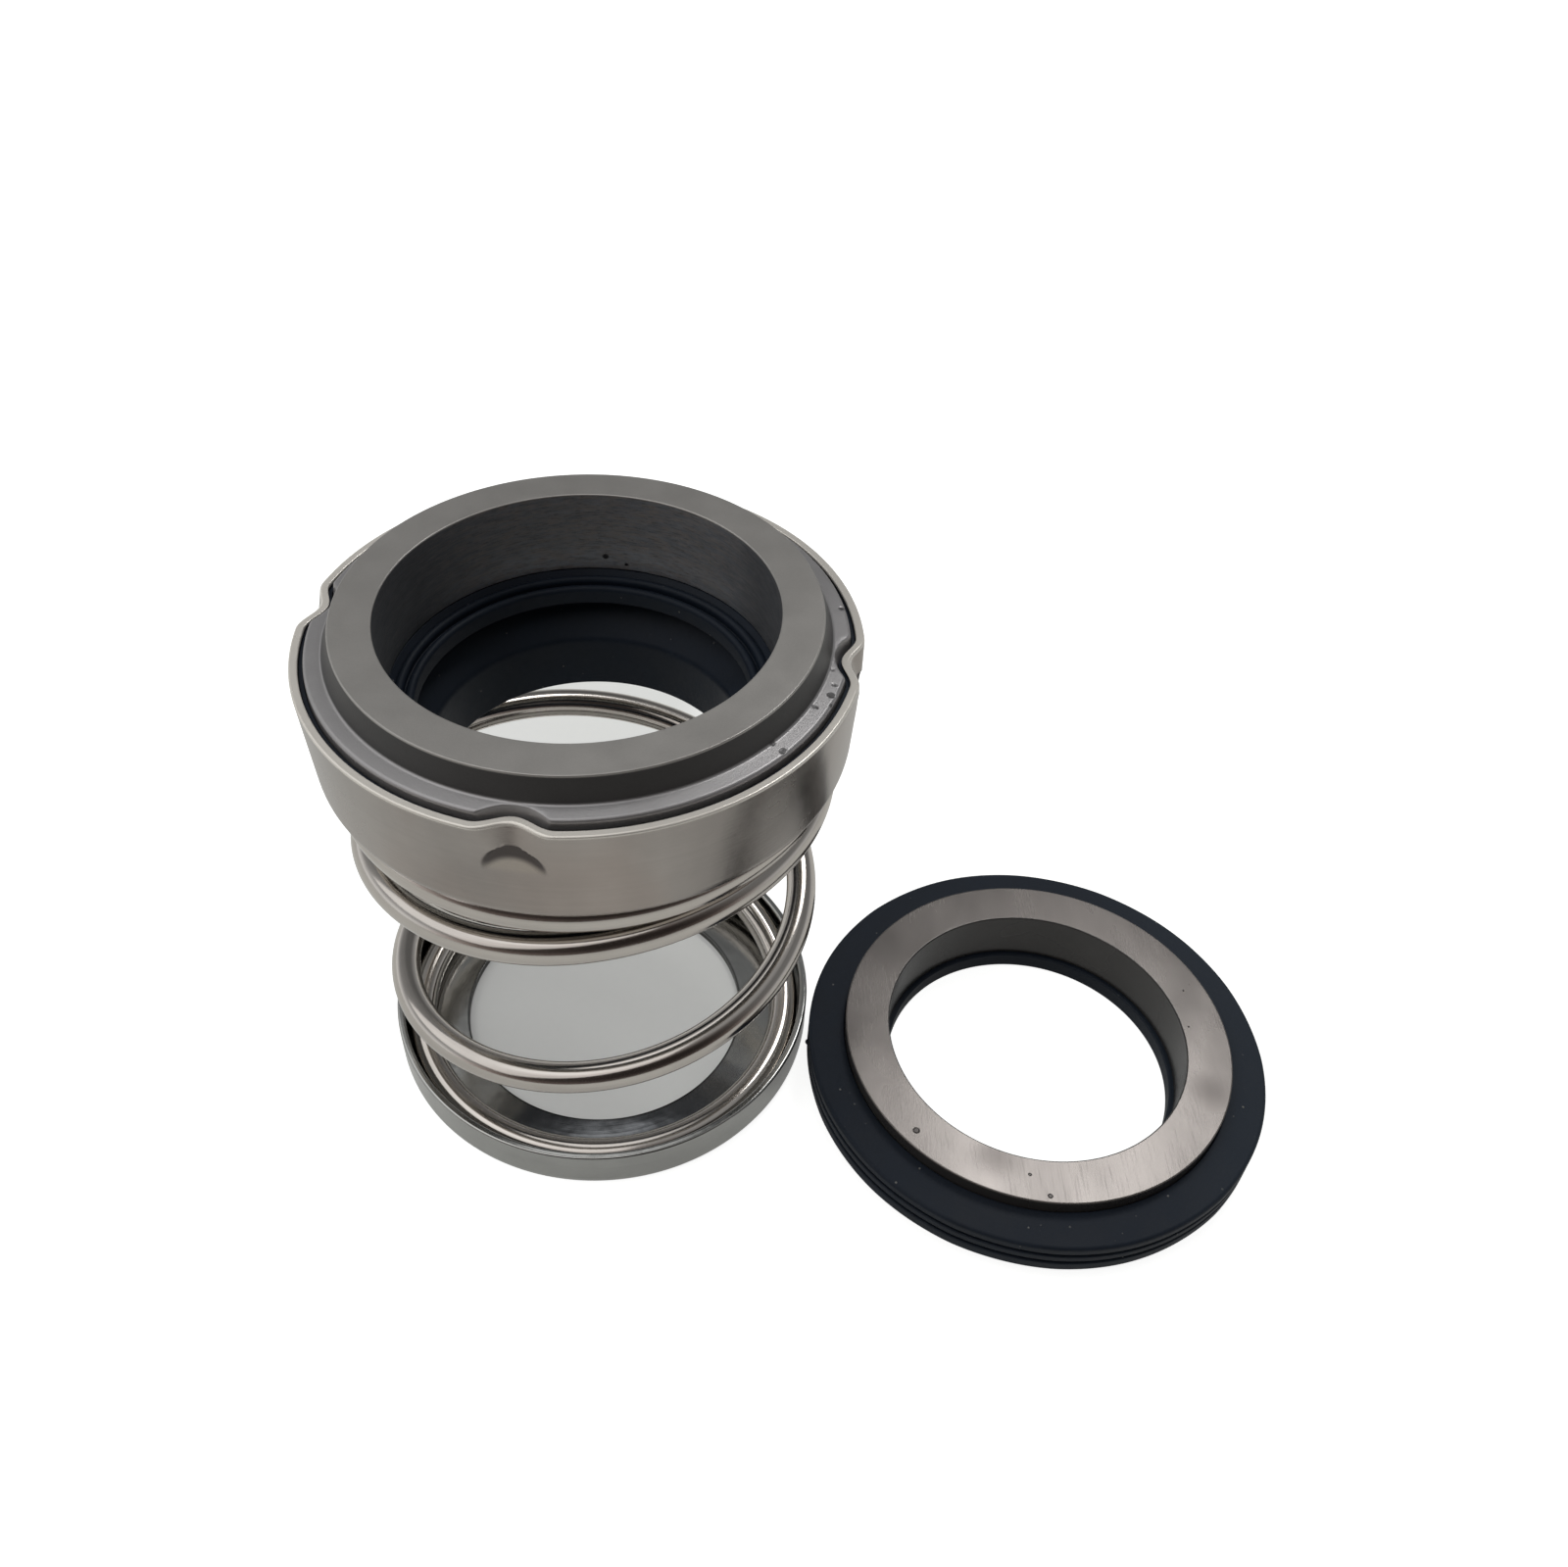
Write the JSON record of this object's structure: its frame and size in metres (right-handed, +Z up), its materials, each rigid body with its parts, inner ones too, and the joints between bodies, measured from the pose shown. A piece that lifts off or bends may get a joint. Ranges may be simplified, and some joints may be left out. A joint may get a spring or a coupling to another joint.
{
  "type": "component mechanical seal",
  "caption": "Elastomer bellows shaft seal: a rotary unit with a face ring in a dented retainer on one coil spring, and its stationary seat in a ribbed rubber boot.",
  "frame": {"origin": "centre of the spring seat's hole, at its underside", "axes": "+Z up the seal axis towards the rotating sealing face; +X towards the stationary seat; +Y away from the viewer"},
  "size_m": [0.0993, 0.0587, 0.0587],
  "materials": {
    "pressed_sheet": "bright pressed stainless sheet",
    "spring_wire": "bright drawn stainless wire",
    "drawn_sheet": "satin drawn stainless sheet",
    "carbide": "ground and lapped hard carbide, satin",
    "bellows_rubber": "moulded black rubber, satin",
    "seat_carbide": "lapped hard carbide with faint stains and small pits",
    "boot_rubber": "moulded black rubber, satin"
  },
  "bodies": {
    "base": {"spring_seat": "pressed_sheet", "spring": "spring_wire", "stationary_ring": "seat_carbide", "seat_boot": "boot_rubber"},
    "head": {"retainer": "drawn_sheet", "face_ring": "carbide", "bellows": "bellows_rubber", "drive_band": "pressed_sheet"}
  },
  "joints": [
    {"name": "head_slide", "type": "slide", "parent": "base", "child": "head", "axis": [0, 0, -1], "range_m": [0, 0.016], "stiffness_N_per_m": 5000, "deforming": ["spring"]}
  ]
}
